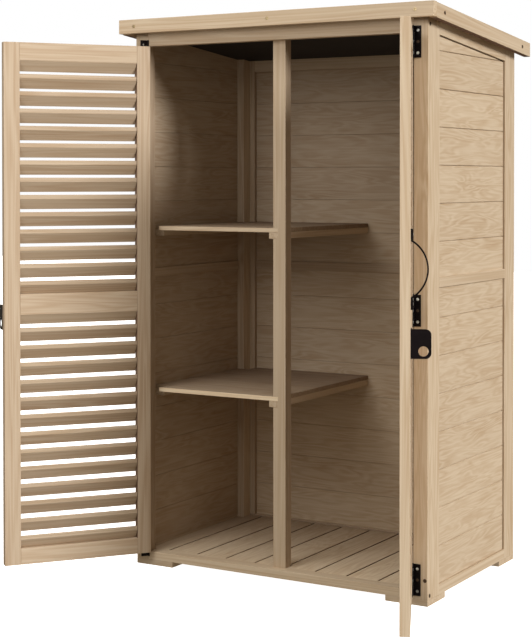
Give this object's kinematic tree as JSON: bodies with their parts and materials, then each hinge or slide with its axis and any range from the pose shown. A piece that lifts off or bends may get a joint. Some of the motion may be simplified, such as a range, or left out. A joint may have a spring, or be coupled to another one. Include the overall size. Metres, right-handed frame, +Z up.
{
  "type": "garden storage cabinet",
  "caption": "Tall wooden garden cabinet with a sloping roof, louvred double doors on side hinges, a middle post and shelves on one side.",
  "frame": {"origin": "on the ground, in the middle of the rectangle of the four feet", "axes": "+Z up, +X to the right of a person who faces the doors, +Y towards the back wall"},
  "size_m": [1.2312, 0.9219, 1.4191],
  "materials": {
    "fir_boards": "bare planed fir, pale beige with fine grain",
    "black_felt": "matt black bitumen felt",
    "black_steel": "black lacquered steel of hinges, handles and hasps",
    "zinc_screws": "small zinc-plated screws"
  },
  "bodies": {
    "cabinet": {"back_battens": "fir_boards", "back_boards": "fir_boards", "back_bottom_rail": "fir_boards", "back_top_rail": "fir_boards", "centre_post": "fir_boards", "fascia_front": "fir_boards", "fascia_left": "fir_boards", "fascia_right": "fir_boards", "feet": "fir_boards", "floor_bearers": "fir_boards", "floor_slats": "fir_boards", "frame_screws": "zinc_screws", "front_bottom_rail": "fir_boards", "front_top_rail": "fir_boards", "left_boards": "fir_boards", "left_bottom_rail": "fir_boards", "left_front_stile": "fir_boards", "left_hinge_pins": "black_steel", "left_mid_rail": "fir_boards", "left_post_hinge_leaves": "black_steel", "left_rear_stile": "fir_boards", "left_top_rail": "fir_boards", "lower_shelf_bearer": "fir_boards", "lower_shelf_boards": "fir_boards", "lower_shelf_cleat": "fir_boards", "right_boards": "fir_boards", "right_bottom_rail": "fir_boards", "right_front_stile": "fir_boards", "right_hinge_pins": "black_steel", "right_mid_rail": "fir_boards", "right_post_hinge_leaves": "black_steel", "right_rear_stile": "fir_boards", "right_top_rail": "fir_boards", "roof_deck": "fir_boards", "roof_felt": "black_felt", "roof_underlay": "black_felt", "upper_shelf_bearer": "fir_boards", "upper_shelf_boards": "fir_boards", "upper_shelf_cleat": "fir_boards"},
    "left_door": {"left_door_hinge_stile": "fir_boards", "left_door_free_stile": "fir_boards", "left_door_top_rail": "fir_boards", "left_door_mid_rail": "fir_boards", "left_door_bottom_rail": "fir_boards", "left_door_slats": "fir_boards", "left_door_handle": "black_steel", "left_door_hasp": "black_steel", "left_door_hinge_leaves": "black_steel", "left_door_screws": "zinc_screws"},
    "right_door": {"right_door_hinge_stile": "fir_boards", "right_door_free_stile": "fir_boards", "right_door_top_rail": "fir_boards", "right_door_mid_rail": "fir_boards", "right_door_bottom_rail": "fir_boards", "right_door_slats": "fir_boards", "right_door_handle": "black_steel", "right_door_hasp": "black_steel", "right_door_hinge_leaves": "black_steel", "right_door_screws": "zinc_screws"}
  },
  "joints": [
    {"name": "left_door_hinge", "type": "hinge", "parent": "cabinet", "child": "left_door", "pos_m": [-0.38175, -0.267, 0.697], "axis": [0, 0, -1], "range_deg": [-127.9, 30.1]},
    {"name": "right_door_hinge", "type": "hinge", "parent": "cabinet", "child": "right_door", "pos_m": [0.38175, -0.267, 0.697], "axis": [0, 0, 1], "range_deg": [-115.2, 42.8]}
  ]
}
